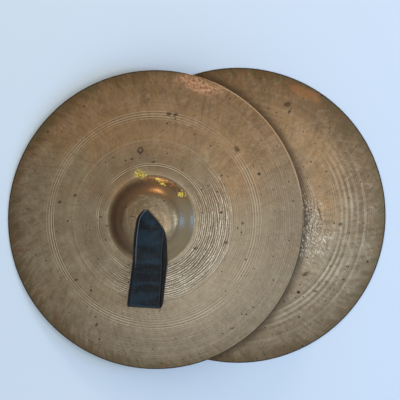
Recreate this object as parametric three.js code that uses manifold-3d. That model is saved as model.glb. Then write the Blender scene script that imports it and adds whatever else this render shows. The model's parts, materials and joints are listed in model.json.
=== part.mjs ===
// A pair of hand cymbals lying together: two hammered bronze plates, each with a folded leather hand
// strap that passes through the bell and is tied in a four-tail crown knot inside the cup.
// Millimetres, +Z up. The rear cymbal lies rim down; the front one overlaps it, with its left rim on
// the same surface and its right side propped on the rear cymbal's bell and strap.

import * as THREE from 'three';
import { mergeVertices } from 'three/addons/utils/BufferGeometryUtils.js';
import Module from 'manifold-3d';

const wasm = await Module();
wasm.setup();

// ---- driving dimensions ----------------------------------------------------------------------

const PLATE_RADIUS = 203.2;      // a 16 inch pair
const RIM_LAND = 2;              // flat ring under the rim
const BOW_HEIGHT = 17;           // rise of the bow from the rim to the foot of the bell
const BOW_SHAPE = 1.6;           // exponent of the bow's curve: flat at the bell, steepest at the rim
const BELL_RADIUS = 60;
const BELL_HEIGHT = 23;
const BELL_SHAPE = 2.6;          // exponent of the bell's curve: flat crown, steep flank
const HOLE_RADIUS = 5.6;
const RIM_THICKNESS = 1.1;
const BELL_THICKNESS = 1.5;      // at the foot of the bell
const CROWN_THICKNESS = 2;       // at the hole
const BELL_RINGS = 9;
const BOW_RINGS = 7;
const PLATE_SEGMENTS = 64;

const LEATHER = 2.6;             // thickness of the strap
const STRAP_WIDTH = 45;
const LOOP_LENGTH = 118;         // from the bell's axis to the fold
const NECK_OVERHANG = 4.3;       // how far the strap's pinched end reaches past the bell's axis
const NECK_TAPER = 46;           // length over which the pinched end widens
const PIVOT_RADIUS = 3.6;        // round of the pinched end, about the line that the strap swings on
const SLOT_HEIGHT = 9;           // room between the two leaves of the loop near the fold
const SLOT_START = 12;
const SLOT_END = 94;             // the slot has its full height from here to the fold
const STRAP_STATIONS = 16;
const FOLD_STEPS = 8;
const PEAK_STEPS = 10;
const BRIDGE_HEIGHT = 4;         // the stiff leather bridges the foot of the bell by this much
const BRIDGE_SPAN = 13;
const GAP = 0.5;                 // between pieces that touch

const KNOT_WIDTH = 27;
const KNOT_HEIGHT = 9.5;
const KNOT_BEVEL = 2.5;
const TAIL_WIDTH = 9;
const TAIL_LENGTH = 22;
const TAIL_THICKNESS = 2.4;
const TAIL_TIP = 3;              // width of a tail's blunt end
const TAIL_COUNT = 4;
const BUNDLE_STEPS = 32;         // corners round the bundle of tails that fills the hole
const CUT_MARGIN = 1;            // how far a solid that only cuts reaches past what it cuts
const SLOPE_STEP = 0.5;          // distance over which a curve's slope is taken

const FRONT_OFFSET = new THREE.Vector2(-115, -5.7);   // front bell from rear bell, seen from above
const FRONT_LEAN = THREE.MathUtils.degToRad(7);       // the front plate's tilt
const FRONT_STRAP_TURN = THREE.MathUtils.degToRad(-3); // the straps point to -Y, turned by this much
const REAR_STRAP_TURN = THREE.MathUtils.degToRad(4);

const BRONZE = new THREE.MeshStandardMaterial({ color: 0x8a7454, roughness: 0.38, metalness: 1 });
const BLACK_LEATHER = new THREE.MeshStandardMaterial({ color: 0x1f1b1b, roughness: 0.55, metalness: 0 });

// ---- solids ----------------------------------------------------------------------------------

function toSolid(geometry) {
  const plain = geometry.clone();
  plain.deleteAttribute('normal');
  plain.deleteAttribute('uv');
  const merged = mergeVertices(plain, 1e-4);
  return new wasm.Manifold(new wasm.Mesh({
    numProp: 3,
    vertProperties: new Float32Array(merged.attributes.position.array),
    triVerts: new Uint32Array(merged.index.array),
  }));
}

function toGeometry(solid) {
  const mesh = solid.getMesh();
  const geometry = new THREE.BufferGeometry();
  geometry.setAttribute('position', new THREE.BufferAttribute(mesh.vertProperties, 3));
  geometry.setIndex(new THREE.BufferAttribute(mesh.triVerts, 1));
  geometry.computeVertexNormals();
  return geometry;
}

function piece(name, geometry, material) {
  const mesh = new THREE.Mesh(geometry, material);
  mesh.name = name;
  return mesh;
}

// ---- the plate's profile ---------------------------------------------------------------------

// Height of the underside above the rim's plane, at a distance from the axis.
function underside(radius) {
  const bowStart = PLATE_RADIUS - RIM_LAND;
  const out = THREE.MathUtils.clamp((radius - BELL_RADIUS) / (bowStart - BELL_RADIUS), 0, 1);
  const bow = BOW_HEIGHT * (1 - out ** BOW_SHAPE);
  const inward = Math.min(radius / BELL_RADIUS, 1) ** BELL_SHAPE;
  const bell = BELL_HEIGHT * (1 - inward * inward * (3 - 2 * inward));
  return bow + bell;
}

function thickness(radius) {
  if (radius < BELL_RADIUS) {
    return THREE.MathUtils.lerp(CROWN_THICKNESS, BELL_THICKNESS, radius / BELL_RADIUS);
  }
  const out = (radius - BELL_RADIUS) / (PLATE_RADIUS - BELL_RADIUS);
  return THREE.MathUtils.lerp(BELL_THICKNESS, RIM_THICKNESS, out);
}

function topside(radius) {
  return underside(radius) + thickness(radius);
}

function plateGeometry() {
  const radii = [];
  for (let i = 0; i < BELL_RINGS; i++) {
    radii.push(THREE.MathUtils.lerp(HOLE_RADIUS, BELL_RADIUS, i / BELL_RINGS));
  }
  for (let i = 0; i <= BOW_RINGS; i++) {
    radii.push(THREE.MathUtils.lerp(BELL_RADIUS, PLATE_RADIUS - RIM_LAND, i / BOW_RINGS));
  }
  radii.push(PLATE_RADIUS);
  const below = radii.map((radius) => new THREE.Vector2(radius, underside(radius)));
  const above = radii.map((radius) => new THREE.Vector2(radius, topside(radius)));
  const profile = [...below, ...above.reverse(), below[0].clone()];
  const geometry = new THREE.LatheGeometry(profile, PLATE_SEGMENTS);
  geometry.rotateX(Math.PI / 2);
  return geometry;
}

// ---- the strap -------------------------------------------------------------------------------

const CROWN_TOP = topside(HOLE_RADIUS);
const PIVOT_HEIGHT = CROWN_TOP + GAP + PIVOT_RADIUS;
const STACK_AT_NECK = 2 * PIVOT_RADIUS;

// The loop's lower face, lying over the bell and on to the bow.
function drape(distance) {
  const off = (distance - BELL_RADIUS) / BRIDGE_SPAN;
  return topside(Math.abs(distance)) + GAP + BRIDGE_HEIGHT * Math.exp(-off * off);
}

// Room between the leaves: pinched at the neck, open at the fold.
function slot(distance) {
  const open = THREE.MathUtils.smoothstep(distance, SLOT_START, SLOT_END);
  return THREE.MathUtils.lerp(STACK_AT_NECK - 2 * LEATHER, SLOT_HEIGHT, open);
}

// A line above the drape, at the given height square to it, from one distance to another.
function leafLine(from, to, height) {
  const line = [];
  for (let i = 0; i <= STRAP_STATIONS; i++) {
    const distance = THREE.MathUtils.lerp(from, to, i / STRAP_STATIONS);
    const rise = drape(distance + SLOPE_STEP) - drape(distance - SLOPE_STEP);
    const square = new THREE.Vector2(-rise, 2 * SLOPE_STEP).normalize();
    const raised = height(distance);
    line.push(new THREE.Vector2(distance + square.x * raised, drape(distance) + square.y * raised));
  }
  return line;
}

// A half circle from one point to another, bulging away from the bell.
function foldArc(from, to) {
  const centre = from.clone().add(to).multiplyScalar(0.5);
  const arm = from.clone().sub(centre);
  const arc = [];
  for (let i = 1; i < FOLD_STEPS; i++) {
    arc.push(arm.clone().rotateAround(new THREE.Vector2(), Math.PI * i / FOLD_STEPS).add(centre));
  }
  return arc;
}

// Side view of the folded strap: distance from the bell's axis, and height.
function loopSection() {
  const foldStart = LOOP_LENGTH - SLOT_HEIGHT / 2 - LEATHER;
  const bottom = leafLine(0, foldStart, () => 0);
  const top = leafLine(0, foldStart, (distance) => slot(distance) + 2 * LEATHER);
  const slotBottom = leafLine(SLOT_START, foldStart, () => LEATHER);
  const slotTop = leafLine(SLOT_START, foldStart, (distance) => slot(distance) + LEATHER);
  const neck = foldArc(top[0], bottom[0]);
  const outline = [...bottom, ...foldArc(bottom.at(-1), top.at(-1)), ...top.reverse(), ...neck];
  const shape = new THREE.Shape(outline);
  const inner = foldArc(slotBottom.at(-1), slotTop.at(-1));
  shape.holes.push(new THREE.Path([...slotBottom, ...inner, ...slotTop.reverse()]));
  return shape;
}

// Plan view of the strap: pinched to a rounded peak over the hole, straight to the fold.
function loopPlan() {
  const plan = new THREE.Shape();
  const shoulder = NECK_OVERHANG - NECK_TAPER;
  plan.moveTo(-STRAP_WIDTH / 2, -LOOP_LENGTH - LEATHER);
  plan.lineTo(STRAP_WIDTH / 2, -LOOP_LENGTH - LEATHER);
  plan.lineTo(STRAP_WIDTH / 2, shoulder);
  plan.absellipse(0, shoulder, STRAP_WIDTH / 2, NECK_TAPER, 0, Math.PI, false, 0);
  return plan;
}

function strapLoopGeometry() {
  const bandWidth = STRAP_WIDTH + 2 * CUT_MARGIN;
  const band = new THREE.ExtrudeGeometry(loopSection(), { depth: bandWidth, bevelEnabled: false });
  band.translate(0, 0, -bandWidth / 2);
  const standing = new THREE.Matrix4().makeBasis(
    new THREE.Vector3(0, -1, 0), new THREE.Vector3(0, 0, 1), new THREE.Vector3(-1, 0, 0));
  band.applyMatrix4(standing);
  const plan = new THREE.ExtrudeGeometry(loopPlan(), {
    depth: PIVOT_HEIGHT + PIVOT_RADIUS + CUT_MARGIN,
    bevelEnabled: false,
    curveSegments: PEAK_STEPS,
  });
  return toGeometry(toSolid(band).intersect(toSolid(plan)));
}

// ---- the knot in the cup ---------------------------------------------------------------------

const KNOT_TOP = underside(HOLE_RADIUS) - GAP;
const KNOT_BOTTOM = KNOT_TOP - KNOT_HEIGHT;

// A rounded square of crossed tails, with the four-lobed bundle that fills the hole above it.
function knotGeometry() {
  const half = KNOT_WIDTH / 2 - KNOT_BEVEL;
  const square = new THREE.Shape();
  square.moveTo(-half, -half);
  square.lineTo(half, -half);
  square.lineTo(half, half);
  square.lineTo(-half, half);
  const body = new THREE.ExtrudeGeometry(square, {
    depth: KNOT_HEIGHT - 2 * KNOT_BEVEL,
    bevelThickness: KNOT_BEVEL,
    bevelSize: KNOT_BEVEL,
    bevelSegments: 3,
  });
  body.translate(0, 0, KNOT_BOTTOM + KNOT_BEVEL);
  const bundle = new THREE.Shape();
  const bundleRadius = HOLE_RADIUS - 2 * GAP;
  for (let i = 0; i < BUNDLE_STEPS; i++) {
    const angle = 2 * Math.PI * i / BUNDLE_STEPS;
    const radius = bundleRadius + GAP * Math.cos(TAIL_COUNT * angle);
    const corner = [radius * Math.cos(angle), radius * Math.sin(angle)];
    if (i === 0) bundle.moveTo(...corner);
    else bundle.lineTo(...corner);
  }
  const knotMiddle = KNOT_BOTTOM + KNOT_HEIGHT / 2;
  const neck = new THREE.ExtrudeGeometry(bundle, { depth: CROWN_TOP - knotMiddle, bevelEnabled: false });
  neck.translate(0, 0, knotMiddle);
  return toGeometry(toSolid(body).add(toSolid(neck)));
}

// One free end of the knot, flat and cut to a blunt point.
function tailGeometry() {
  const half = TAIL_WIDTH / 2;
  const outline = new THREE.Shape();
  outline.moveTo(0, -half);
  outline.lineTo(TAIL_LENGTH - half, -half);
  outline.lineTo(TAIL_LENGTH, -TAIL_TIP / 2);
  outline.lineTo(TAIL_LENGTH, TAIL_TIP / 2);
  outline.lineTo(TAIL_LENGTH - half, half);
  outline.lineTo(0, half);
  return new THREE.ExtrudeGeometry(outline, { depth: TAIL_THICKNESS, bevelEnabled: false });
}

// ---- one cymbal ------------------------------------------------------------------------------

function makeStrap(side) {
  const strap = new THREE.Group();
  strap.add(piece(`${side}_strap_loop`, strapLoopGeometry(), BLACK_LEATHER));
  strap.add(piece(`${side}_strap_knot`, knotGeometry(), BLACK_LEATHER));
  for (let i = 0; i < TAIL_COUNT; i++) {
    const tail = piece(`${side}_strap_tail_${i + 1}`, tailGeometry(), BLACK_LEATHER);
    tail.position.set(KNOT_WIDTH / 2 + GAP, KNOT_WIDTH / 2 - TAIL_WIDTH / 2 - KNOT_BEVEL, 0);
    const turn = new THREE.Group();
    turn.add(tail);
    turn.rotation.z = i * 2 * Math.PI / TAIL_COUNT;
    turn.position.z = KNOT_BOTTOM + KNOT_BEVEL;
    strap.add(turn);
  }
  return strap;
}

function makeCymbal(side, strapTurn) {
  const cymbal = new THREE.Group();
  cymbal.add(piece(`${side}_plate`, plateGeometry(), BRONZE));
  const strap = makeStrap(side);
  strap.rotation.z = strapTurn;
  cymbal.add(strap);
  return cymbal;
}

// ---- the pair --------------------------------------------------------------------------------

const rear = makeCymbal('rear', REAR_STRAP_TURN);
const front = makeCymbal('front', FRONT_STRAP_TURN);
const towardsRear = FRONT_OFFSET.clone().negate().normalize();
const leanAxis = new THREE.Vector3(-towardsRear.y, towardsRear.x, 0);
front.quaternion.setFromAxisAngle(leanAxis, -FRONT_LEAN);
front.position.set(FRONT_OFFSET.x, FRONT_OFFSET.y, PLATE_RADIUS * Math.sin(FRONT_LEAN));

// The origin is the middle of the pair's footprint, on the surface that it lies on.
const pair = new THREE.Group();
pair.add(rear, front);
const footprint = new THREE.Box3().setFromObject(pair, true).getCenter(new THREE.Vector3());
pair.position.set(-footprint.x, -footprint.y, 0);

export default pair;
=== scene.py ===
"""The looks of a pair of hand cymbals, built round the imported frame.

Every length below is in metres unless a comment says otherwise. Each cymbal has its own frame, with its
origin on the bell's axis in the plane of the rim and +Z out of the bell. Its strap has the same frame
turned about +Z, so that the strap lies towards -Y.
"""

import json
import math

import bpy
import numpy as np
from mathutils import Matrix, Vector


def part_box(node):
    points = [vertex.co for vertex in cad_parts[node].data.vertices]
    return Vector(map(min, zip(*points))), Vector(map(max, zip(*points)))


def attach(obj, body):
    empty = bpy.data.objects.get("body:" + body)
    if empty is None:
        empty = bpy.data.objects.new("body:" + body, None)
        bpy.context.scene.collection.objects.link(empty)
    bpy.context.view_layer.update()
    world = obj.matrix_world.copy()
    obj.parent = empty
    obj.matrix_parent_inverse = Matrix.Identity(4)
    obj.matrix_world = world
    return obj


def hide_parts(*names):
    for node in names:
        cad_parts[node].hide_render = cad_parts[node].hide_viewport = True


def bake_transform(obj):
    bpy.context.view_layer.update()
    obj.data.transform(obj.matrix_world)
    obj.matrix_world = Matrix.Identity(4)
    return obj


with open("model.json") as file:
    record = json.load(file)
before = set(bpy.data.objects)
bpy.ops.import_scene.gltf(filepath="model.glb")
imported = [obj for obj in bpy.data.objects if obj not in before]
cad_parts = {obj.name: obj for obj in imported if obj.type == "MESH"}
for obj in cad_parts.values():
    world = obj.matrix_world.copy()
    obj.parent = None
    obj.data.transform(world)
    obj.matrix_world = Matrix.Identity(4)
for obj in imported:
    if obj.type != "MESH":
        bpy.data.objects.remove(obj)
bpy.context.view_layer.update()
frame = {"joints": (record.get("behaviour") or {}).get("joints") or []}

JOINTS = {joint["name"]: joint for joint in frame["joints"]}
MM = 0.001

# The plates' profile, as the CAD plates have it.
REAR_LOW, REAR_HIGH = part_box("rear_plate")
PLATE_RADIUS = (REAR_HIGH.x - REAR_LOW.x) / 2
HOLE_HEIGHT = JOINTS["rear_strap_swivel"]["pos_m"][2]
PIVOT_HEIGHT = JOINTS["rear_strap_swing"]["pos_m"][2]
HOLE_RADIUS = 5.6 * MM
BELL_RADIUS = 60 * MM
BELL_HEIGHT = 23 * MM
BELL_SHAPE = 2.6
BOW_HEIGHT = 17 * MM
BOW_SHAPE = 1.6
RIM_LAND = 2 * MM
RIM_THICKNESS = 1.1 * MM
BELL_THICKNESS = 1.5 * MM
CROWN_THICKNESS = 2 * MM

# The straps.
LEATHER = 2.6 * MM
LOOP_LENGTH = 118 * MM
SLOT_HEIGHT = 9 * MM
SLOT_START = 12 * MM
SLOT_END = 94 * MM
BRIDGE_HEIGHT = 4 * MM
BRIDGE_SPAN = 13 * MM
CLEARANCE = 0.5 * MM


# ---- small helpers ---------------------------------------------------------------------------

def smoothstep(value, low, high):
    t = np.clip((np.asarray(value, float) - low) / (high - low), 0, 1)
    return t * t * (3 - 2 * t)


def bell_axis(side):
    return Vector(JOINTS[f"{side}_strap_swivel"]["axis"]).normalized()


def bell_matrix(side, across):
    """A frame on the bell's axis in the plane of the rim, with its +X along a given direction."""
    up = bell_axis(side)
    centre = Vector(JOINTS[f"{side}_strap_swivel"]["pos_m"]) - up * HOLE_HEIGHT
    return Matrix.Translation(centre) @ Matrix((across, up.cross(across), up)).transposed().to_4x4()


def cymbal_matrix(side):
    up = bell_axis(side)
    return bell_matrix(side, (Vector((1, 0, 0)) - up * up.x).normalized())


def strap_matrix(side):
    return bell_matrix(side, -Vector(JOINTS[f"{side}_strap_swing"]["axis"]).normalized())


def new_piece(name, points, faces, matrix, material):
    """A smooth mesh that keeps each point's place in its own frame, for the materials."""
    mesh = bpy.data.meshes.new(name)
    mesh.from_pydata([tuple(p) for p in points], [], faces)
    mesh.validate()
    mesh.polygons.foreach_set("use_smooth", [True] * len(mesh.polygons))
    mesh.materials.append(material)
    mesh.update()
    piece = bpy.data.objects.new(name, mesh)
    give(piece, "place", "FLOAT_VECTOR", points)
    piece.matrix_world = matrix
    bpy.context.scene.collection.objects.link(piece)
    return piece


def ring_faces(rings, around, closed):
    """Quads between rings of points; a closed skin joins the last ring to the first."""
    faces = []
    for i in range(rings if closed else rings - 1):
        a, b = i * around, (i + 1) % rings * around
        for j in range(around):
            k = (j + 1) % around
            faces.append((a + j, a + k, b + k, b + j))
    return faces


def strip_faces(rings, around):
    """The skin of a strip between rings of points, with both its ends capped."""
    faces = ring_faces(rings, around, closed=False)
    faces.append(tuple(range(around))[::-1])
    faces.append(tuple((rings - 1) * around + j for j in range(around)))
    return faces


def give(piece, name, kind, values):
    """Gives a piece a value or a vector at each of its points, for the materials."""
    attribute = piece.data.attributes.new(name, kind, "POINT")
    attribute.data.foreach_set("vector" if kind == "FLOAT_VECTOR" else "value",
                               np.asarray(values, np.float32).ravel())


# ---- the plates ------------------------------------------------------------------------------

def underside(radius):
    """Height of the under face: the bow, and the bell on top of it."""
    out = np.clip((radius - BELL_RADIUS) / (PLATE_RADIUS - RIM_LAND - BELL_RADIUS), 0, 1)
    inward = np.clip(radius / BELL_RADIUS, 0, 1) ** BELL_SHAPE
    return BOW_HEIGHT * (1 - out ** BOW_SHAPE) + BELL_HEIGHT * (1 - smoothstep(inward, 0, 1))


def thickness(radius):
    inner = CROWN_THICKNESS + (BELL_THICKNESS - CROWN_THICKNESS) * radius / BELL_RADIUS
    out = (radius - BELL_RADIUS) / (PLATE_RADIUS - BELL_RADIUS)
    outer = BELL_THICKNESS + (RIM_THICKNESS - BELL_THICKNESS) * out
    return np.where(radius < BELL_RADIUS, inner, outer)


SEGMENTS = 400
RING_STEP = 1.15 * MM
NARROWEST_STEP = 0.32 * MM
UNDER_STEP = 3.2 * MM
RIM_ROUND = 0.42 * MM
LIP_ROUND = 0.5 * MM

# Deep lathe cuts of each plate: distance from the axis as a share of the radius, then the depth and the
# half width in millimetres.
CUTS = {
    "front": [
        (0.302, 0.04, 0.7), (0.362, 0.12, 0.55), (0.375, 0.08, 0.5), (0.528, 0.06, 0.5),
        (0.672, 0.09, 0.6), (0.688, 0.12, 0.6), (0.704, 0.10, 0.6), (0.722, 0.07, 0.6),
        (0.905, 0.02, 0.6),
    ],
    "rear": [
        (0.302, 0.12, 0.7), (0.365, 0.12, 0.55), (0.53, 0.08, 0.5), (0.66, 0.06, 0.7), (0.675, 0.06, 0.6),
        (0.70, 0.10, 2.0), (0.735, 0.08, 2.2), (0.77, 0.09, 2.4), (0.81, 0.05, 2.2), (0.86, 0.05, 2.4),
    ],
}
DEEPEST = 0.12              # the deepest cut
HAMMER = {"front": (11, 0.10), "rear": (23, 0.15)}   # seed, and how deep the blows went in millimetres
BLOW_RINGS = np.arange(67, 200, 9.5)        # millimetres from the axis
BLOW_PITCH = 12.5                           # millimetres from blow to blow along a ring
# Where each plate was worked harder: middle and half width in millimetres, and how much deeper.
WORKED = {"front": (54, 184, 26, 1.6), "rear": (104, -16, 42, 2.0)}


def hammer_blows(side):
    """Places, depths and sizes of the hammer marks: rings of blows, a little out of true."""
    seed, depth = HAMMER[side]
    worked_x, worked_y, worked_half, deeper = WORKED[side]
    draw = np.random.default_rng(seed)
    blows = []
    for ring in BLOW_RINGS:
        count = int(2 * math.pi * ring / BLOW_PITCH)
        for i in range(count):
            angle = 2 * math.pi * (i + draw.uniform(-0.42, 0.42)) / count
            radius = ring + draw.uniform(-4, 4)
            x, y = radius * math.cos(angle), radius * math.sin(angle)
            worked = math.exp(-((x - worked_x) ** 2 + (y - worked_y) ** 2) / worked_half ** 2)
            blow_depth = depth * draw.uniform(0.15, 1.0) ** 1.4 * (1 + (deeper - 1) * worked)
            blow_size = draw.uniform(3.6, 6.4) * (1 - 0.4 * worked)
            blows.append((x, y, blow_depth, blow_size))
    return blows


def relief(side, x, y):
    """How far the hammering and two slow waves lift the surface, for arrays of places on the plate."""
    x, y = x / MM, y / MM
    radius = np.hypot(x, y)
    lift = np.zeros_like(x)
    for blow_x, blow_y, depth, size in hammer_blows(side):
        near = (np.abs(x - blow_x) < 3 * size) & (np.abs(y - blow_y) < 3 * size)
        far = ((x[near] - blow_x) ** 2 + (y[near] - blow_y) ** 2) / size ** 2
        lift[near] -= depth * (1 - 0.45 * far) * np.exp(-far)
    turn = 0.9 if side == "rear" else 0.0
    lift += 0.16 * np.sin(x / 23 + turn) * np.sin(y / 27 + 1.3 - turn)
    lift += 0.12 * np.sin((x + y) / 17 + 2 * turn) * smoothstep(radius, 60, 110)
    return lift * smoothstep(radius, 56, 72) * (1 - 0.75 * smoothstep(radius, 196, 203)) * MM


def cuts(side, radius):
    """How far the deep cuts lift the surface, which is down."""
    lift = np.zeros_like(radius)
    for share, depth, width in CUTS[side]:
        lift -= depth * np.exp(-((radius - share * PLATE_RADIUS) / (width * MM)) ** 2)
    return lift * MM


def plate_rings(side):
    """Distances of the rings on the upper face from the axis: closer together across each cut."""
    radii = list(np.arange(HOLE_RADIUS + 0.7 * MM, PLATE_RADIUS - 0.5 * MM, RING_STEP))
    for share, _, width in CUTS[side]:
        radii += [share * PLATE_RADIUS + step * width * MM for step in (-1.6, -0.8, 0, 0.8, 1.6)]
    radii.sort()
    kept = [radii[0]]
    for radius in radii[1:]:
        if radius - kept[-1] > NARROWEST_STEP:
            kept.append(radius)
    return np.array(kept)


def make_plate(side, material):
    over = plate_rings(side)
    under = np.arange(PLATE_RADIUS - 0.8 * MM, HOLE_RADIUS + 0.8 * MM, -UNDER_STEP)
    # The rim and the hole's lip are rounded over the thickness of the metal.
    edge = np.radians([60, 20, -20, -60])
    rim_half = RIM_THICKNESS / 2
    rim_radii = PLATE_RADIUS - RIM_ROUND + np.cos(edge) * RIM_ROUND
    rim_heights = rim_half + np.sin(edge) * rim_half
    lip_half = CROWN_THICKNESS / 2
    lip_radii = HOLE_RADIUS + LIP_ROUND - np.cos(edge) * LIP_ROUND
    lip_heights = underside(HOLE_RADIUS) + lip_half - np.sin(edge) * lip_half
    radii = np.concatenate([over, rim_radii, under, lip_radii])
    heights = np.concatenate([
        underside(over) + thickness(over) + cuts(side, over),
        rim_heights,
        underside(under),
        lip_heights,
    ])
    angles = np.arange(SEGMENTS) * 2 * math.pi / SEGMENTS
    x = radii[:, None] * np.cos(angles)
    y = radii[:, None] * np.sin(angles)
    z = heights[:, None] + relief(side, x, y)
    z[len(over):] = np.maximum(z[len(over):], 0)
    points = np.stack([x, y, z], axis=-1).reshape(-1, 3)
    faces = ring_faces(len(radii), SEGMENTS, closed=True)
    plate = new_piece(f"{side}_bronze_plate", points, faces, cymbal_matrix(side), material)
    upper = np.zeros((len(radii), SEGMENTS))
    upper[:len(over) + len(rim_radii)] = 1
    give(plate, "upper", "FLOAT", upper)
    return plate


# ---- the straps ------------------------------------------------------------------------------

def drape(distance):
    """Height of the strap's lower face over the plate, with a bridge at the bell's foot."""
    off = (distance - BELL_RADIUS) / BRIDGE_SPAN
    away = np.abs(distance)
    return underside(away) + thickness(away) + CLEARANCE + BRIDGE_HEIGHT * np.exp(-off * off)


def slot(distance):
    """The gap between the strap's two leaves: pinched at the hole and open at the fold."""
    pinched = 2 * (PIVOT_HEIGHT - HOLE_HEIGHT - CLEARANCE) - 2 * LEATHER
    return pinched + (SLOT_HEIGHT - pinched) * smoothstep(distance, SLOT_START, SLOT_END)


def leaf(distances, height):
    """Points above the drape, square to it."""
    slope = (drape(distances + 0.5 * MM) - drape(distances - 0.5 * MM)) / MM
    length = np.hypot(slope, 1)
    return np.stack([distances - slope / length * height, drape(distances) + height / length], axis=1)


FOLD_POINTS = 13
# The strap's middle by the hole, in millimetres: how it comes up, as distance and height above the hole's
# top, and how its upper leaf runs over the peak and back down, as distance and height above its own start.
RISE = [(-0.3, -3.0), (-0.3, -1.0), (-0.1, 0.6), (0.9, 1.5), (3.0, 1.95), (5.5, 2.0)]
FALL = [(5.5, 0.05), (0, 0.3), (-5, 0.2), (-9.5, -0.2), (-13, -1.2), (-15.2, -3.0), (-13.6, -4.9),
        (-9.5, -5.2), (-5.6, -5.3), (-3.4, -6.8), (-2.9, -10.5)]


def strap_line():
    """Side view of the strap's middle: out of the hole, along, round the fold, back and into the hole.

    Each row holds the distance from the axis and the height; the second array runs from 0 on the lower
    leaf to 1 on the upper one.
    """
    fold = LOOP_LENGTH - SLOT_HEIGHT / 2 - LEATHER
    going = np.linspace(9 * MM, fold, 60)
    coming = going[::-1]
    lower = leaf(going, np.full_like(going, LEATHER / 2))
    upper = leaf(coming, slot(coming) + LEATHER * 1.5)
    middle = (lower[-1] + upper[0]) / 2
    arm = lower[-1] - middle
    turns = np.linspace(0, math.pi, FOLD_POINTS + 2)[1:-1]
    arc = [middle + np.array([arm[0] * math.cos(t) - arm[1] * math.sin(t),
                              arm[0] * math.sin(t) + arm[1] * math.cos(t)]) for t in turns]
    rise = np.array(RISE) * MM
    rise[:, 1] += HOLE_HEIGHT
    fall = np.array(FALL) * MM
    fall[:, 1] += upper[-1][1]
    line = np.concatenate([rise, lower, arc, upper, fall])
    share = np.concatenate([
        np.zeros(len(rise) + len(lower)),
        np.linspace(0, 1, len(arc) + 2)[1:-1],
        np.ones(len(upper) + len(fall)),
    ])
    return line, share


def resample(line, share, step):
    """The line again with even steps, its corners eased."""
    for _ in range(3):
        line[1:-1] = (line[:-2] + 2 * line[1:-1] + line[2:]) / 4
    along = np.concatenate([[0], np.cumsum(np.hypot(*np.diff(line, axis=0).T))])
    even = np.linspace(0, along[-1], int(along[-1] / step))
    return (np.stack([np.interp(even, along, line[:, 0]), np.interp(even, along, line[:, 1])], axis=1),
            np.interp(even, along, share), even)


# The strap's half widths and how far its edges curl, by distance from the axis, all in millimetres. The
# upper leaf's edges curl down, and the lower leaf's up.
REACH = [-15, -12, -8, -3, 2, 8, 14, 24, 34, 49, 82, 97, 118]
UPPER_LEFT = [5.4, 9.6, 12.6, 15.6, 16.8, 17.4, 18.0, 18.6, 19.0, 20.0, 23.4, 25.0, 26.6]
UPPER_RIGHT = [-2.6, 0.2, 4.4, 9.2, 13.8, 18.8, 21.4, 21.2, 20.4, 19.2, 18.4, 18.0, 17.0]
UPPER_CURL = [0.4, 1.2, 2.2, 3.2, 3.4, 3.0, 2.4, 1.6, 1.1, 0.8, 0.6, 0.4, 0.2]
LOWER_LEFT = [3.2, 3.2, 3.4, 4.4, 5.6, 6.8, 8.4, 10.0, 11.2, 13.0, 18.4, 21.6, 26.6]
LOWER_RIGHT = [3.2, 3.4, 4.2, 7.4, 13.0, 18.6, 22.6, 25.2, 26.0, 25.8, 23.0, 21.8, 20.6]
LOWER_CURL = [0.2, 0.2, 0.3, 0.3, 0.3, 0.3, 0.2, 0.2, 0.2, 0.2, 0.2, 0.2, 0.2]
ACROSS = 22                # points across each face of the strap
EDGE_POINTS = 5            # points round each of its edges
STRAP_STEP = 1.3 * MM


def strap_section(left, right, curl):
    """One slice across the strap: sideways places and heights round a strip with rounded edges."""
    bend = np.radians(np.linspace(90, -90, EDGE_POINTS + 2)[1:-1])
    half = LEATHER / 2
    span = np.linspace(-left + half, right - half, ACROSS)
    top = [(s, half) for s in span]
    right_edge = [(right - half + half * math.cos(b), half * math.sin(b)) for b in bend]
    bottom = [(s, -half) for s in span[::-1]]
    left_edge = [(-left + half - half * math.cos(b), -half * math.sin(b)) for b in bend]
    ring = np.array(top + right_edge + bottom + left_edge)
    centre = (right - left) / 2
    off = (ring[:, 0] - centre) / ((right + left) / 2)
    ring[:, 1] -= curl * off ** 2
    return ring


def make_strap(side, material):
    line, share, along = resample(*strap_line(), STRAP_STEP)
    direction = np.gradient(line, axis=0)
    direction /= np.hypot(*direction.T)[:, None]
    # Square to the strip, pointing up on the upper leaf, and so down on the lower one.
    outward = np.stack([direction[:, 1], -direction[:, 0]], axis=1)
    rings = []
    for (distance, height), out, upper in zip(line, outward, share):
        reach = distance / MM

        def mixed(low_row, high_row):
            return MM * ((1 - upper) * np.interp(reach, REACH, low_row)
                         + upper * np.interp(reach, REACH, high_row))

        left, right = mixed(LOWER_LEFT, UPPER_LEFT), mixed(LOWER_RIGHT, UPPER_RIGHT)
        curl = mixed([-c for c in LOWER_CURL], UPPER_CURL)
        ring = strap_section(left, right, curl)
        rings.append([(s, -(distance + out[0] * h), height + out[1] * h) for s, h in ring])
    points = np.array(rings)
    count, around, _ = points.shape
    strap = new_piece(f"{side}_leather_strap", points.reshape(-1, 3), strip_faces(count, around),
                      strap_matrix(side), material)

    # For the leather: the strap laid flat, how far in from its edges a point is, and the edges themselves.
    across = points[:, :, 0]
    laid = [across, np.repeat(along[:, None], around, axis=1), np.repeat(share[:, None], around, axis=1)]
    give(strap, "flat", "FLOAT_VECTOR", np.stack(laid, axis=-1))
    from_left = across - across.min(axis=1)[:, None]
    from_right = across.max(axis=1)[:, None] - across
    give(strap, "margin", "FLOAT", np.minimum(from_left, from_right))
    edge = np.zeros(around)
    edge[ACROSS:ACROSS + EDGE_POINTS] = 1
    edge[2 * ACROSS + EDGE_POINTS:] = 1
    give(strap, "edge", "FLOAT", np.tile(edge, count))
    return strap


# ---- the knot in the cup ---------------------------------------------------------------------

TAILS = 4
TAIL_THICKNESS = 2.3 * MM
TAIL_STEPS = 88
TAIL_SQUARE = 0.35          # keeps a tail's width square to the knot where the tail runs straight down
CUP_TOP = HOLE_HEIGHT - CROWN_THICKNESS - CLEARANCE

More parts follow.
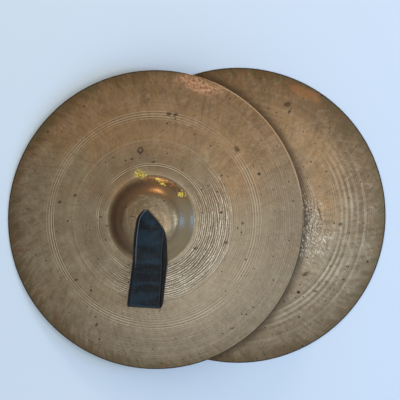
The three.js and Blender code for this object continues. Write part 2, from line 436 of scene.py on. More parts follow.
# One tail of the crown knot, from the hole to its free end: sideways, forwards, depth below the cup's
# top, half width, in millimetres. The other three are the same, a quarter turn apart.
TAIL_LINE = [
    (-1.2, 2.0, -2.6, 2.0), (-1.8, 2.4, -0.6, 2.1), (-3.6, 3.6, 1.2, 2.9), (-7.0, 4.5, 1.7, 4.0),
    (-10.4, 4.8, 2.2, 4.4), (-12.6, 4.8, 4.4, 4.4), (-10.6, 4.8, 6.9, 4.4), (-7.6, 4.8, 7.9, 4.4),
    (-4.8, 4.8, 8.0, 4.4), (-1.6, 4.8, 7.1, 4.4), (1.6, 4.8, 5.6, 4.4), (4.8, 4.8, 4.9, 4.4),
    (8.6, 4.9, 4.8, 4.4), (13.0, 5.2, 5.6, 4.4), (18.0, 5.9, 6.6, 4.4), (23.0, 6.9, 6.9, 4.4),
    (28.0, 8.0, 6.5, 4.2), (31.5, 8.8, 5.9, 3.0), (34.0, 9.4, 5.5, 1.5),
]


def make_tail(side, index, material):
    control = np.array(TAIL_LINE) * MM
    steps = np.linspace(0, len(control) - 1, TAIL_STEPS)
    line = np.stack([np.interp(steps, range(len(control)), control[:, k]) for k in range(4)], axis=1)
    for _ in range(10):
        line[1:-1] = (line[:-2] + 2 * line[1:-1] + line[2:]) / 4
    spine = line[:, :3] * [1, 1, -1] + [0, 0, CUP_TOP]
    direction = np.gradient(spine, axis=0)
    direction /= np.linalg.norm(direction, axis=1)[:, None]
    half = TAIL_THICKNESS / 2
    rounding = 0.8 * half
    bend = np.radians(np.linspace(90, -90, 5)[1:-1])
    rings = []
    for centre, ahead, wide in zip(spine, direction, line[:, 3]):
        sideways = np.array([-ahead[1], ahead[0] + TAIL_SQUARE, 0])
        sideways -= ahead * (sideways @ ahead)
        sideways /= np.linalg.norm(sideways)
        lift = np.cross(ahead, sideways)
        flat_half = wide - rounding
        span = np.linspace(-flat_half, flat_half, 7)
        ring = [(s, half) for s in span]
        ring += [(flat_half + rounding * math.cos(b), half * math.sin(b)) for b in bend]
        ring += [(s, -half) for s in span[::-1]]
        ring += [(-flat_half - rounding * math.cos(b), -half * math.sin(b)) for b in bend]
        rings.append([centre + sideways * s + lift * h for s, h in ring])
    points = np.array(rings)
    count, around, _ = points.shape
    turn = Matrix.Rotation(2 * math.pi * index / TAILS, 4, "Z")
    return new_piece(f"{side}_knot_tail_{index + 1}", points.reshape(-1, 3), strip_faces(count, around),
                     strap_matrix(side) @ turn, material)


# ---- materials: a short way to write a shader's nodes ------------------------------------------

def srgb(red, green, blue):
    """A colour given as a painter would, on a scale to 255, for a shader."""
    parts = [v / 255 for v in (red, green, blue)]
    return tuple(v / 12.92 if v <= 0.04045 else ((v + 0.055) / 1.055) ** 2.4 for v in parts) + (1,)


class Nodes:
    """Adds nodes to one tree. Most methods give back the new node's result, to feed the next one."""

    COLOUR_INPUTS = (6, 7)      # the Mix node's sockets for colours
    COLOUR_OUTPUT = 2

    def __init__(self, owner):
        self.tree = owner.node_tree

    def add(self, kind, **settings):
        node = self.tree.nodes.new(kind)
        for key, value in settings.items():
            setattr(node, key, value)
        return node

    def link(self, out, into):
        self.tree.links.new(out, into)

    def put(self, socket, value):
        if isinstance(value, bpy.types.NodeSocket):
            self.link(value, socket)
        else:
            socket.default_value = value

    def math(self, operation, a, b=0.0, c=0.0, clamp=False):
        node = self.add("ShaderNodeMath", operation=operation, use_clamp=clamp)
        for socket, value in zip(node.inputs, (a, b, c)):
            self.put(socket, value)
        return node.outputs[0]

    def times(self, first, *others):
        for other in others:
            first = self.math("MULTIPLY", first, other)
        return first

    def times_plus(self, value, factor, more):
        return self.math("MULTIPLY_ADD", value, factor, more)

    def plus(self, a, b):
        return self.math("ADD", a, b)

    def minus(self, a, b):
        return self.math("SUBTRACT", a, b)

    def most(self, a, b):
        return self.math("MAXIMUM", a, b)

    def size_of(self, value):
        return self.math("ABSOLUTE", value)

    def vector_math(self, operation, a, b=(0, 0, 0), scale=1.0):
        node = self.add("ShaderNodeVectorMath", operation=operation)
        self.put(node.inputs[0], a)
        self.put(node.inputs[1], b)
        if operation == "SCALE":
            self.put(node.inputs["Scale"], scale)
        return node.outputs["Value" if operation in ("LENGTH", "DOT_PRODUCT") else 0]

    def combine(self, x, y, z):
        node = self.add("ShaderNodeCombineXYZ")
        for socket, value in zip(node.inputs, (x, y, z)):
            self.put(socket, value)
        return node.outputs[0]

    def split(self, vector):
        node = self.add("ShaderNodeSeparateXYZ")
        self.put(node.inputs[0], vector)
        return node.outputs

    def noise(self, vector, scale, detail=2.0, roughness=0.5, distortion=0.0):
        node = self.add("ShaderNodeTexNoise")
        self.put(node.inputs["Vector"], vector)
        node.inputs["Scale"].default_value = scale
        node.inputs["Detail"].default_value = detail
        node.inputs["Roughness"].default_value = roughness
        node.inputs["Distortion"].default_value = distortion
        return node.outputs["Fac"]

    def cells(self, vector, scale):
        node = self.add("ShaderNodeTexVoronoi")
        self.put(node.inputs["Vector"], vector)
        node.inputs["Scale"].default_value = scale
        return node.outputs

    def ease(self, value, low, high, start=0.0, end=1.0):
        """start below low, end above high, smooth between them."""
        node = self.add("ShaderNodeMapRange", interpolation_type="SMOOTHSTEP")
        for socket, number in zip(node.inputs, (value, low, high, start, end)):
            self.put(socket, number)
        return node.outputs[0]

    def mix(self, factor, a, b):
        node = self.add("ShaderNodeMix", data_type="RGBA", clamp_factor=True)
        self.put(node.inputs["Factor"], factor)
        first, second = (node.inputs[i] for i in Nodes.COLOUR_INPUTS)
        self.put(first, a)
        self.put(second, b)
        return node.outputs[Nodes.COLOUR_OUTPUT]

    def attribute(self, name):
        return self.add("ShaderNodeAttribute", attribute_name=name).outputs

    def bump(self, height, distance, normal=None):
        node = self.add("ShaderNodeBump")
        self.put(node.inputs["Height"], height)
        node.inputs["Distance"].default_value = distance
        node.inputs["Strength"].default_value = 1.0
        if normal is not None:
            self.link(normal, node.inputs["Normal"])
        return node.outputs[0]


def new_material(name):
    material = bpy.data.materials.new(name)
    material.use_nodes = True
    return material, Nodes(material), material.node_tree.nodes["Principled BSDF"]


def spot(n, x, y, centre_x, centre_y, half_long, half_short, turn, ragged, power):
    """A soft ellipse with a ragged edge: its middle and half axes in millimetres, its turn in degrees."""
    cosine, sine = math.cos(math.radians(turn)), math.sin(math.radians(turn))
    off_x = n.minus(x, centre_x * MM)
    off_y = n.minus(y, centre_y * MM)
    along = n.plus(n.times(off_x, cosine / (half_long * MM)), n.times(off_y, sine / (half_long * MM)))
    beside = n.plus(n.times(off_x, -sine / (half_short * MM)), n.times(off_y, cosine / (half_short * MM)))
    far = n.vector_math("LENGTH", n.combine(along, beside, 0.0))
    far = n.plus(far, n.times(n.minus(ragged, 0.5), power))
    return n.ease(far, 0.35, 1.15, 1.0, 0.0)


# ---- materials: bronze -----------------------------------------------------------------------

# Where the bell's flank starts and is full, where its foot ends, and how far its smoothness reaches.
FLANK = (26 * MM, 40 * MM)
FOOT = (55.5 * MM, 61.5 * MM)
SMOOTH_BELL = (54 * MM, 64 * MM)

# Each plate's patina low down and near the top.
PATINA = {
    "front": (srgb(172, 158, 129), srgb(182, 146, 103)),
    "rear": (srgb(170, 152, 122), srgb(184, 145, 98)),
}
# Painted light on the front's right side and painted shade on the rear's: how its border leans, where it
# begins and is full, its strength, its colour.
SIDE_LIGHT_AND_SHADE = {
    "front": (-1.2, (0.03, 0.16), 0.75, srgb(165, 152, 128)),
    "rear": (0.3, (0.11, 0.20), 0.5, srgb(116, 96, 68)),
}
CUT_HIGHLIGHT = {"front": 0.7, "rear": 0.3}
DULL_RIM = {"front": 0.24, "rear": 0.4}
PATINA_METAL = 0.8          # the dull film on old bronze leaves this share of it shining as metal
LATHE_LINES = {"front": 0.8, "rear": 0.4}
LINE_PITCH = 2 * math.pi / (2.7 * MM)
GROOVE_DEPTH = {"front": 0.26 * MM, "rear": 0.16 * MM}
SEED = {"front": 3.0, "rear": 17.0}

# Colours of painted shade and painted highlights on the lines and the speckle, and a dark umber.
UMBER = srgb(48, 44, 40)
PAINTED_SHADE = srgb(84, 72, 54)
PAINTED_HIGHLIGHT = srgb(255, 248, 230)

# Pits of three sizes: cells to the metre, the share of cells that hold one, how much their sizes differ.
PITS = [(190.0, 0.17, 0.17), (95.0, 0.12, 0.10), (48.0, 0.10, 0.06)]
# Drop marks: middle, radius and half width, in millimetres. Spots: middle, half axes and turn in degrees.
RINGS = {
    "front": [(-16, 94, 3.2, 1.6)],
    "rear": [(68, 152, 2.6, 1.4)],
}
SPOTS = {
    "front": [
        (22, 143, 5, 3.4, 0), (31, 142, 4.5, 3.2, 10), (-78, -143, 3.8, 2.6, 40), (-27, 82, 3.4, 1.8, -8),
        (-36, 80, 2, 1.4, -50), (2, 78, 3, 1.8, 20), (-105, -82, 4, 1.6, 10),
        (-128, 24, 3.4, 2.6, 0), (-106, 33, 2.6, 2.2, 30), (107, -146, 5, 1.2, 20), (-22, 5, 5, 1.1, -4),
        (114, 95, 6, 4, -40), (100, -30, 4, 2.4, 0), (60, -38, 4, 1.6, 60), (122, -4, 3, 2.6, 0),
        (-70, 4, 2.4, 1.6, 0), (-62, -8, 2, 1.6, 0), (76, 46, 1.8, 1.6, 0), (88, 38, 2, 1.8, 0),
    ],
    "rear": [
        (111, 4, 19, 1.1, -76), (92, -80, 6, 3, 30), (70, 142, 4, 2.4, 60), (150, -70, 3, 2.4, 0),
        (140, -12, 4, 3, 40), (66, 152, 5, 3, -10), (120, 60, 3, 2, 10), (106, -104, 3, 2, 0),
    ],
}
# What is left of old yellow paint above the front bell, and the larger patches, all given as spots.
YELLOW_FLECKS = [(-16, 62, 15, 11, -25), (13, 51, 14, 4.5, -35), (41, 35, 9, 8, -20)]
COPPER_PATCH = (60, 182, 36, 13, -18)
ORANGE_PATCH = (88, 170, 44, 8, -28)
WORKED_PATCH = (101, -22, 52, 30, -84)
# The painted shadow of the front cymbal on the rear plate: its middle, its radius and its width, which grows
# from the first value at the bottom to the second at the top. It covers all the plate under the front
# cymbal.
SHADOW_MIDDLE = (-117 * MM, -6 * MM)
SHADOW_RADIUS = 206 * MM
SHADOW_WIDTH = (13 * MM, 14 * MM)


class Surface:
    """One plate's surface: places on it, and the noises that the layers of its bronze are cut from."""

    def __init__(self, n, side):
        self.n, self.side = n, side
        self.x, self.y, _ = n.split(n.attribute("place")["Vector"])
        self.upper = n.attribute("upper")["Fac"]
        self.flat = n.combine(self.x, self.y, 0.0)
        self.radius = n.vector_math("LENGTH", self.flat)
        self.share = n.math("DIVIDE", self.radius, PLATE_RADIUS)
        self.around = n.vector_math("NORMALIZE", self.flat)
        self.moved = n.vector_math("ADD", self.flat, (SEED[side], -SEED[side], 0))
        self.broad = n.noise(self.moved, 11.0, 4.0, 0.55, 0.4)
        self.cloud = n.noise(self.moved, 42.0, 4.0, 0.6, 0.5)
        self.grain = n.noise(self.moved, 420.0, 3.0, 0.65)
        self.strokes = n.noise(self.polar(36.0, 60.0, -2.2), 1.0, 1.6, 0.5, 0.5)
        self.ripples = n.noise(self.polar(40.0, 110.0, 5.0), 1.0, 1.2, 0.5, 0.5)
        self.bands = n.noise(self.polar(0.35, 300.0), 1.0, 3.0, 0.65)
        self.turning = n.noise(self.polar(3.0, 260.0), 1.0, 2.0, 0.6)

    def polar(self, turns, outs, skew=0.0):
        """A place that changes `turns` fast round the plate and `outs` fast outwards.

        skew bends the rays into spirals.
        """
        n = self.n
        turned = n.add("ShaderNodeVectorRotate", rotation_type="Z_AXIS")
        n.put(turned.inputs["Vector"], self.around)
        n.put(turned.inputs["Angle"], n.times(self.radius, skew))
        wide_x, wide_y, _ = n.split(n.vector_math("SCALE", turned.outputs[0], scale=turns))
        return n.combine(wide_x, wide_y, n.times_plus(self.radius, outs, SEED[self.side]))

    def leaning(self, slope):
        """x + slope * y, which grows across a border that leans by the slope."""
        return self.n.times_plus(self.y, slope, self.x)

    def spot(self, place, ragged, power):
        return spot(self.n, self.x, self.y, *place, ragged, power)


def patina(s):
    """Olive grey low down and warm brown towards the top, clouded, with duller rings and painted light and
    shade on the right.
    """
    n = s.n
    height = n.times_plus(n.minus(s.broad, 0.5), 0.34, n.times_plus(s.x, 0.25, s.y))
    colour = n.mix(n.ease(height, -0.02, 0.13), *PATINA[s.side])
    colour = n.mix(n.ease(s.cloud, 0.36, 0.7, 0.0, 0.5), colour, srgb(139, 119, 92))
    colour = n.mix(n.ease(s.cloud, 0.3, 0.5, 0.22, 0.0), colour, srgb(196, 184, 160))

    # Painted cool light on the front's right side and painted shade on the rear's right side.
    slope, begins, strength, tone = SIDE_LIGHT_AND_SHADE[s.side]
    colour = n.mix(n.times(n.ease(s.leaning(slope), *begins), strength), colour, tone)

    # Duller rings: beyond the bell, a faint one outside that, and the rim.
    dull = n.times(n.ease(s.share, 0.30, 0.34), n.ease(s.share, 0.42, 0.60, 0.34, 0.0))
    dull = n.most(dull, n.ease(s.share, 0.68, 0.84, 0.0, DULL_RIM[s.side]))
    dull = n.most(dull, n.ease(s.share, 0.54, 0.60, 0.0, 0.1))
    return n.mix(dull, colour, srgb(84, 70, 52))


def hammer_strokes(s, colour):
    """Dark strokes and painted highlights on the ripples; also gives how strong they are at each place, and
    the strokes.
    """
    n = s.n
    outer = n.ease(s.share, 0.32, 0.95, 0.25, 1.0)
    if s.side == "front":
        outer = n.times(outer, n.ease(s.leaning(-0.8), 0.02, 0.17, 1.0, 0.4))
    stroke = n.times(n.ease(s.strokes, 0.42, 0.72), outer)
    colour = n.mix(n.times(stroke, 0.48), colour, srgb(104, 84, 60))
    # Painted highlights on the ripples.
    painted_ripple_highlight = n.times(n.ease(s.ripples, 0.52, 0.68), n.ease(s.share, 0.3, 0.5))
    return n.mix(n.times(painted_ripple_highlight, 0.15), colour, srgb(206, 186, 154)), outer, stroke


def lathe_marks(s, colour):
    """Soft bands and fine lines of painted highlight and shade; also gives the lines' wave and how strong it
    is at each place.
    """
    n = s.n
    colour = n.mix(n.ease(s.bands, 0.46, 0.72, 0.0, 0.2), colour, srgb(112, 94, 70))
    ringed = n.times(n.ease(s.share, 0.29, 0.33), n.ease(s.share, 0.51, 0.56, 1.0, 0.16))
    lit_side = n.ease(s.leaning(-1.1), -0.02, 0.10, 0.1, 1.0)
    comb = n.math("SINE", n.times_plus(s.turning, 11.0, n.times(s.radius, LINE_PITCH)))
    speckle = n.ease(n.noise(s.moved, 460.0, 2.0, 0.6), 0.38, 0.62, 0.3, 1.0)
    ringed = n.times(ringed, lit_side, n.times(speckle, LATHE_LINES[s.side]))
    # Painted highlights and painted shade along the fine lines, strongest on the lit lower right.
    colour = n.mix(n.times(n.ease(comb, 0.3, 0.95), ringed), colour, PAINTED_HIGHLIGHT)
    colour = n.mix(n.times(n.ease(comb, -0.9, -0.3, 1.0, 0.0), ringed), colour, PAINTED_SHADE)
    return colour, comb, ringed


def deep_cuts(s, colour):
    """Painted highlights on the cuts and painted shade just inside them, broken up in places."""
    n = s.n
    break_noise = n.noise(s.polar(1.3, 25.0), 1.0, 2.0, 0.5)
    cut_highlight, cut_shade = 0.0, 0.0
    for cut_share, depth, half_width in CUTS[s.side]:
        half = half_width * MM
        strength = depth / DEEPEST
        off = n.minus(s.radius, cut_share * PLATE_RADIUS)
        cut_highlight = n.most(cut_highlight, n.ease(n.size_of(off), 0.4 * half, 1.1 * half, strength, 0.0))
        beside = n.size_of(n.plus(off, 1.7 * half))
        cut_shade = n.most(cut_shade, n.ease(beside, 0.5 * half, 1.3 * half, strength, 0.0))
    broken_up = n.ease(break_noise, 0.36, 0.6, 0.15, 1.0)
    if s.side == "rear":
        broken_up = n.times(broken_up, n.ease(s.y, -0.01, 0.11, 1.0, 0.25))
    # Painted shade just inside each cut, then painted highlights on it.
    colour = n.mix(n.times(cut_shade, broken_up, 0.5), colour, srgb(92, 76, 56))
    return n.mix(n.times(cut_highlight, broken_up, CUT_HIGHLIGHT[s.side]), colour, srgb(232, 218, 188))


def bell(s, colour):
    """Flank dark brown on the left as painted shade, greyer on the right as painted light, darkest above,
    with some rust.
    """
    n = s.n
    flank = n.times(n.ease(s.radius, *FLANK), n.ease(s.radius, *FOOT, 1.0, 0.0))
    # Painted shade on the flank's left and painted light on its right.
    painted_light_right = n.ease(s.leaning(-0.75), -0.035, 0.045)
    flank_colour = n.mix(painted_light_right, srgb(84, 51, 20), srgb(106, 92, 66))
    rust = n.ease(n.noise(s.polar(9.0, 300.0, 2.0), 1.0, 3.0, 0.65, 0.3), 0.46, 0.6)
    top_foot = n.times(n.ease(s.radius, 0.046, 0.052), n.ease(s.y, 0.02, 0.045))
    flank_colour = n.mix(n.times(top_foot, 0.8), flank_colour, srgb(60, 38, 14))
    rusty = n.times(top_foot, n.ease(s.x, -0.025, 0.0, 0.1, 0.6), s.upper)
    flank_colour = n.mix(n.times(rust, rusty), flank_colour, srgb(142, 88, 30))
    colour = n.mix(n.times(flank, 0.88), colour, flank_colour)
    crown = n.ease(s.radius, 0.018, 0.034, 1.0, 0.0)
    colour = n.mix(n.times(crown, 0.7), colour, srgb(136, 117, 90))
    crown_rings = n.times(n.ease(s.turning, 0.5, 0.64), n.ease(s.radius, 0.03, 0.04, 0.35, 0.0))
    return n.mix(crown_rings, colour, srgb(206, 186, 152))


def rim(s, colour):
    """Ragged dark tarnish, brown and olive, streaks, and a dark outline with painted shade and highlight."""
    n = s.n
    ragged = n.noise(s.polar(26.0, 40.0, -3.0), 1.0, 4.0, 0.65)
    reach = n.times_plus(ragged, 0.22, n.times(n.minus(s.broad, 0.5), 0.18))
    tarnish = n.ease(n.plus(s.share, reach), 0.985, 1.12, 0.0, 0.78)
    if s.side == "front":
        tarnish = n.times(tarnish, n.ease(s.leaning(0.2), -0.02, 0.15, 1.0, 0.15))
    brown_or_olive = n.mix(n.ease(s.cloud, 0.42, 0.58), srgb(98, 78, 52), srgb(92, 84, 54))
    colour = n.mix(tarnish, colour, brown_or_olive)
    streaks = n.ease(n.noise(s.polar(75.0, 22.0, 0.6), 1.0, 3.0, 0.6), 0.5, 0.66)
    streaks = n.times(streaks, n.ease(s.share, 0.8, 0.95, 0.0, 0.42))
    streaks = n.times(streaks, n.ease(s.leaning(-0.8), 0.0, 0.14, 1.0, 0.35))
    colour = n.mix(streaks, colour, srgb(126, 80, 44))
    # A dark outline, partly tarnish and partly painted shade on the rounded edge; at the front's upper right
    # a painted highlight takes its place.
    outline = n.ease(s.share, 0.989, 0.995)
    edge_colour = UMBER
    if s.side == "front":
        painted_edge_highlight = n.times(n.ease(s.x, 0.05, 0.10), n.ease(s.y, -0.03, 0.06))
        edge_colour = n.mix(painted_edge_highlight, UMBER, srgb(190, 160, 122))
    return n.mix(n.times(outline, 0.8), colour, edge_colour)


def pits_and_stains(s, colour):
    """Small pits, more of them to the lower right, then the larger separate marks; also gives the pits."""
    n = s.n
    pit = 0.0
    for scale, chance, differing in PITS:
        cell = n.cells(s.moved, scale)
        pick, size, _ = n.split(cell["Color"])
        low_right = n.times(n.minus(s.x, s.y), 0.55)
        chosen = n.ease(n.plus(pick, n.times(low_right, chance)), 1 - chance, 1 - 0.8 * chance)
        edge = n.times_plus(size, differing, 0.05)
        off = n.times_plus(n.minus(s.grain, 0.5), 0.1, cell["Distance"])
        hole = n.ease(n.math("DIVIDE", off, edge), 0.7, 1.3, 1.0, 0.0)
        pit = n.most(pit, n.times(hole, chosen))
    colour = n.mix(n.times(pit, 0.82), colour, srgb(46, 34, 26))

    stain = 0.0
    for ring in RINGS[s.side]:
        stain = n.most(stain, ring_stain(s, *ring))
    for place in SPOTS[s.side]:
        stain = n.most(stain, s.spot(place, s.grain, 2.0))
    return n.mix(n.times(stain, 0.72), colour, srgb(64, 46, 34)), pit


def ring_stain(s, centre_x, centre_y, size, wide):
    """A stain like the mark of a drop: a thin dark broken ring."""
    n = s.n
    off = n.combine(n.minus(s.x, centre_x * MM), n.minus(s.y, centre_y * MM), 0.0)
    away = n.size_of(n.minus(n.vector_math("LENGTH", off), size * MM))
    away = n.times_plus(n.minus(s.grain, 0.5), 5 * MM, away)
    return n.ease(away, wide * 0.4 * MM, wide * MM, 1.0, 0.0)


def front_marks(s, colour):
    """A copper-coloured patch near the rim and the ragged flakes of paint; also gives the paint."""
    n = s.n
    copper = n.times(s.spot(COPPER_PATCH, s.cloud, 1.3), s.upper)
    hammered = n.ease(n.noise(s.moved, 300.0, 3.0, 0.7), 0.36, 0.66)
    coppery = n.mix(hammered, srgb(160, 108, 72), srgb(255, 204, 162))
    colour = n.mix(n.times(copper, 0.72), colour, coppery)
    flakes = n.noise(s.flat, 380.0, 2.0, 0.6, 0.8)
    room = 0.0
    for patch in YELLOW_FLECKS:
        room = n.most(room, s.spot(patch, flakes, 0.3))
    paint = n.ease(n.times(flakes, n.math("POWER", room, 0.5)), 0.45, 0.51)
    paint = n.times(paint, s.upper)
    yellow = n.mix(n.ease(s.grain, 0.4, 0.6), srgb(160, 130, 22), srgb(230, 210, 70))
    return n.mix(paint, colour, yellow), paint


def rear_marks(s, colour):
    """Painted shadow of the front cymbal, an orange patch, and painted glints and shade on the worked metal.
    """
    n = s.n
    # Painted shadow of the front cymbal on this plate: dark under the front rim, fading out beyond it.
    off_x, off_y = n.plus(s.x, -SHADOW_MIDDLE[0]), n.plus(s.y, -SHADOW_MIDDLE[1])
    beyond = n.minus(n.vector_math("LENGTH", n.combine(off_x, off_y, 0.0)), SHADOW_RADIUS)
    beyond = n.math("DIVIDE", beyond, n.ease(s.y, -0.07, 0.06, *SHADOW_WIDTH))
    painted_shadow = n.times(n.ease(beyond, 0.0, 1.0, 0.74, 0.0), s.upper)
    colour = n.mix(painted_shadow, colour, srgb(70, 54, 36))
    orange = n.times(s.spot(ORANGE_PATCH, s.cloud, 2.4), s.upper)
    colour = n.mix(n.times(orange, 0.4), colour, srgb(190, 130, 78))
    # Painted glints and painted shade, speckled over the worked metal.
    worked = n.times(s.spot(WORKED_PATCH, s.cloud, 1.0), s.upper)
    slanted = n.combine(n.times_plus(s.y, 240.0, n.times(s.x, 430.0)),
                        n.times_plus(s.x, -90.0, n.times(s.y, 230.0)), 4.1)
    facet_speckle = n.noise(slanted, 1.0, 2.5, 0.6, 0.8)
    painted_shade_speckle = n.times(n.ease(facet_speckle, 0.38, 0.46, 1.0, 0.0), n.times(worked, 0.42))
    colour = n.mix(painted_shade_speckle, colour, PAINTED_SHADE)
    painted_glints = n.times(n.ease(facet_speckle, 0.54, 0.63), n.times(worked, 0.55))
    return n.mix(painted_glints, colour, PAINTED_HIGHLIGHT)


def bronze(side):
    """Old hammered and lathed bronze: turned grooves, soft hammer strokes, patina, pits and a dark rim."""
    material, n, shader = new_material(f"{side}_old_bronze")
    s = Surface(n, side)
    colour = patina(s)
    colour, outer, stroke = hammer_strokes(s, colour)
    colour, comb, ringed = lathe_marks(s, colour)
    colour = deep_cuts(s, colour)
    colour = bell(s, colour)
    colour = rim(s, colour)
    colour, pit = pits_and_stains(s, colour)
    metal = PATINA_METAL
    if side == "front":
        colour, paint = front_marks(s, colour)
        metal = n.times_plus(paint, -PATINA_METAL, PATINA_METAL)
    else:
        colour = rear_marks(s, colour)
    n.link(colour, shader.inputs["Base Color"])
    n.put(shader.inputs["Metallic"], metal)

    rough = n.times_plus(s.cloud, 0.16, 0.38)
    rough = n.times_plus(stroke, 0.08, rough)
    rough = n.times_plus(pit, 0.3, rough)
    rough = n.math("SUBTRACT", rough, n.ease(s.radius, *SMOOTH_BELL, 0.16, 0.0), clamp=True)
    n.link(rough, shader.inputs["Roughness"])

    # The highlights stretch along the turning of the lathe.
    shader.inputs["Anisotropic"].default_value = 0.45
    along_x, along_y, _ = n.split(s.around)
    tangent = n.add("ShaderNodeVectorTransform", vector_type="VECTOR", convert_from="OBJECT",
                    convert_to="WORLD")
    n.link(n.combine(n.times(along_y, -1.0), along_x, 0.0), tangent.inputs[0])
    n.link(tangent.outputs[0], shader.inputs["Tangent"])

    # Turned grooves, crisp beyond the bell and nearly worn away elsewhere, then strokes and pits.
    crisp = n.times(n.ease(s.share, 0.29, 0.32), n.ease(s.share, 0.5, 0.68, 1.0, 0.22))
    groove = n.times(n.times_plus(s.bands, 0.12, n.times(comb, ringed, 0.16)), crisp)
    normal = n.bump(groove, GROOVE_DEPTH[side])
    normal = n.bump(n.times(s.strokes, outer), 0.3 * MM, normal)
    normal = n.bump(n.times(s.ripples, outer), 0.16 * MM, normal)
    normal = n.bump(n.times(s.cloud, n.ease(s.radius, *SMOOTH_BELL)), 0.7 * MM, normal)
    rubbed = n.ease(s.radius, *SMOOTH_BELL, 0.05, 0.25)
    normal = n.bump(n.times_plus(pit, -1.0, n.times(s.grain, rubbed)), 0.2 * MM, normal)
    n.link(normal, shader.inputs["Normal"])
    return material


# ---- materials: leather and floor --------------------------------------------------------------

LEATHER_DARK, LEATHER_SHEEN = srgb(4, 11, 16), srgb(17, 42, 55)
PRESSED_LINE = 2.4 * MM         # from the strap's edges to the middle of the pressed line
SHADOW_BORDER = (3.2 * MM, 4.2 * MM)   # the painted shadow fades out between these distances from the left edge
HIGHLIGHT_LINE = 4.5 * MM          # from the left edge to the middle of the painted highlight line
HIGHLIGHT_FROM = (175 * MM, 212 * MM)      # the painted highlight fades in between these places along the strap


def leather():
    """Black harness leather: pebbled grain, painted blue sheen, creases, pressed edge lines, painted shade
    and highlight at left.
    """
    material, n, shader = new_material("black_harness_leather")
    place = n.attribute("place")["Vector"]
    edge = n.attribute("edge")["Fac"]
    margin = n.attribute("margin")["Fac"]
    across, along, upper = n.split(n.attribute("flat")["Vector"])

    def stretched(across_scale, along_scale, seed, *shape):
        where = n.combine(n.times(across, across_scale), n.times(along, along_scale), seed)
        return n.noise(where, 1.0, *shape)

    pebble = n.cells(place, 620.0)["Distance"]
    broad = stretched(22.0, 46.0, 5.2, 3.0, 0.55, 0.4)
    fine = n.noise(place, 480.0, 3.0, 0.6)
    crease = stretched(26.0, 190.0, 1.7, 3.0, 0.6, 0.5)
    fibre = stretched(520.0, 70.0, 2.1, 2.0, 0.5)
    # Broad blue patches of painted sheen on the black.
    colour = n.mix(n.ease(broad, 0.4, 0.6), LEATHER_DARK, LEATHER_SHEEN)
    colour = n.mix(n.ease(fibre, 0.5, 0.72, 0.0, 0.4), colour, srgb(34, 58, 74))
    colour = n.mix(n.ease(crease, 0.56, 0.74, 0.0, 0.4), colour, srgb(38, 56, 66))
    colour = n.mix(n.ease(pebble, 0.25, 0.6, 0.3, 0.0), colour, srgb(4, 7, 9))
    pressed = n.ease(n.size_of(n.minus(margin, PRESSED_LINE)), 0.3 * MM, 0.75 * MM, 1.0, 0.0)
    colour = n.mix(n.times(pressed, 0.4), colour, srgb(3, 5, 7))

    # The upper leaf's left border is painted dark as shadow and ends in a thin painted highlight near the
    # hole.
    left = n.times(n.ease(across, -6 * MM, -2 * MM, 1.0, 0.0), upper)
    border = n.times(n.ease(margin, *SHADOW_BORDER, 1.0, 0.0), left)
    colour = n.mix(n.times(border, 0.9), colour, srgb(3, 4, 5))
    line = n.ease(n.size_of(n.minus(margin, HIGHLIGHT_LINE)), 0.2 * MM, 0.9 * MM, 1.0, 0.0)
    line = n.times(line, left, n.ease(along, *HIGHLIGHT_FROM))
    colour = n.mix(n.times(line, 0.6), colour, srgb(120, 124, 136))

    # Scuffed edges, then the plainer lower leaf and the raw cut edge.
    ragged = n.times_plus(n.minus(fine, 0.5), 2.4 * MM, margin)
    colour = n.mix(n.ease(ragged, 0.4 * MM, 1.5 * MM, 0.5, 0.0), colour, srgb(70, 72, 74))
    colour = n.mix(n.times_plus(upper, -0.85, 0.85), colour, srgb(22, 18, 16))
    colour = n.mix(n.times(edge, n.ease(fine, 0.3, 0.6, 0.5, 0.95)), colour, srgb(30, 22, 18))
    n.link(colour, shader.inputs["Base Color"])
    rough = n.times_plus(broad, -0.24, n.times_plus(fibre, 0.1, 0.5))
    n.link(rough, shader.inputs["Roughness"])
    shader.inputs["Specular IOR Level"].default_value = 0.24
    normal = n.bump(pebble, 0.12 * MM)
    normal = n.bump(crease, 0.45 * MM, normal)
    normal = n.bump(broad, 0.9 * MM, normal)
    normal = n.bump(n.times(pressed, -1.0), 0.5 * MM, normal)
    n.link(normal, shader.inputs["Normal"])
    return material


def floor_paint():
    material, n, shader = new_material("pale_floor")
    spread = n.add("ShaderNodeTexCoord").outputs["Object"]
    tone = n.noise(spread, 3.0, 3.0, 0.5)
    n.link(n.mix(tone, srgb(215, 234, 251), srgb(219, 238, 253)), shader.inputs["Base Color"])
    n.link(n.times_plus(tone, 0.1, 0.7), shader.inputs["Roughness"])
    return material


# ---- the object ------------------------------------------------------------------------------

black_leather = leather()
for side in ("rear", "front"):
    plate = make_plate(side, bronze(side))
    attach(plate, f"{side}_cymbal")
    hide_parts(f"{side}_plate")

    strap = make_strap(side, black_leather)
    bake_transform(strap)
    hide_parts(f"{side}_strap_loop")

    for index in range(TAILS):
        tail = make_tail(side, index, black_leather)
        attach(tail, f"{side}_strap_anchor")
        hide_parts(f"{side}_strap_tail_{index + 1}", f"{side}_strap_knot")


# ---- floor, light and camera -----------------------------------------------------------------

FLOOR_HALF = 4.0
FLOOR_HEIGHT = -0.25 * MM       # a hair below the rims, so that no faces coincide


def make_floor():
    mesh = bpy.data.meshes.new("floor")
    signs = [(-1, -1), (1, -1), (1, 1), (-1, 1)]
    corners = [(x * FLOOR_HALF, y * FLOOR_HALF, FLOOR_HEIGHT) for x, y in signs]
    mesh.from_pydata(corners, [], [(0, 1, 2, 3)])
    mesh.materials.append(floor_paint())
    floor = bpy.data.objects.new("floor", mesh)
    bpy.context.scene.collection.objects.link(floor)


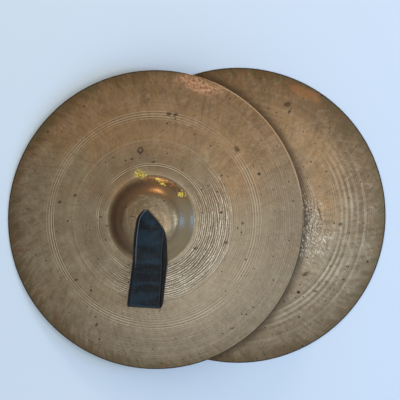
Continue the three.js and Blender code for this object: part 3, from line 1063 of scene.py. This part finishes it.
def make_world():
    """A soft room: dim overhead, brighter and cooler lower down, darkest on the left, warm towards +Y."""
    world = bpy.data.worlds.new("room")
    world.use_nodes = True
    bpy.context.scene.world = world
    n = Nodes(world)
    direction = n.vector_math("NORMALIZE", n.add("ShaderNodeTexCoord").outputs["Generated"])

    def lobe(towards, narrow, wide):
        facing = n.vector_math("DOT_PRODUCT", direction, tuple(Vector(towards).normalized()))
        return n.ease(facing, math.cos(math.radians(wide)), math.cos(math.radians(narrow)))

    colour = n.mix(lobe((0, 0, 1), 25, 80), (1.22, 1.27, 1.33, 1), (0.40, 0.40, 0.41, 1))
    colour = n.mix(n.math("MULTIPLY", lobe((-0.9, 0.0, 0.55), 10, 62), 0.75), colour, (0.22, 0.20, 0.18, 1))
    colour = n.mix(n.math("MULTIPLY", lobe((0.1, 0.8, 0.55), 8, 50), 0.5), colour, (0.55, 0.44, 0.34, 1))
    background = world.node_tree.nodes["Background"]
    n.link(colour, background.inputs["Color"])
    background.inputs["Strength"].default_value = 1.0


def area_light(name, location, target, size, power, colour):
    data = bpy.data.lights.new(name, "AREA")
    data.shape = "DISK"
    data.size = size
    data.energy = power
    data.color = colour
    light = bpy.data.objects.new(name, data)
    light.location = location
    light.rotation_mode = "QUATERNION"
    light.rotation_quaternion = (Vector(target) - Vector(location)).to_track_quat("-Z", "Y")
    bpy.context.scene.collection.objects.link(light)


CAMERA_DISTANCE = 1.9
SENSOR = 36.0
FRAME_WIDTH = 551.04 * MM       # what the picture's width takes in on the floor
CAMERA_ABOVE = (4.4 * MM, 23.9 * MM)


def make_camera():
    data = bpy.data.cameras.new("camera")
    data.sensor_width = SENSOR
    data.lens = SENSOR * CAMERA_DISTANCE / FRAME_WIDTH
    camera = bpy.data.objects.new("camera", data)
    camera.location = (*CAMERA_ABOVE, CAMERA_DISTANCE)
    bpy.context.scene.collection.objects.link(camera)
    bpy.context.scene.camera = camera


# Each light: its place, what it faces, its diameter, its power in watts and its colour.
LIGHTS = {
    "ceiling": ((-0.1, -0.35, 2.2), (0, 0, 0), 1.9, 4.6, (1.0, 0.99, 0.97)),
    "key": ((-0.27, -0.54, 2.1), (0, 0, 0), 0.4, 1.9, (1.0, 1.0, 1.0)),
    "window": ((1.18, -0.06, 1.62), (-0.06, 0, 0), 0.4, 6, (0.66, 0.83, 1.0)),
    "low_window": ((1.6, -0.1, 0.82), (-0.06, 0, 0.03), 0.4, 6, (0.10, 0.32, 1.0)),
    "lamp": ((0.05, 1.7, 0.62), (-0.06, 0.05, 0.03), 0.3, 8, (1.0, 0.76, 0.48)),
}

make_floor()
make_world()
for name, light in LIGHTS.items():
    area_light(name, *light)
make_camera()
bpy.context.scene.view_settings.view_transform = "Standard"
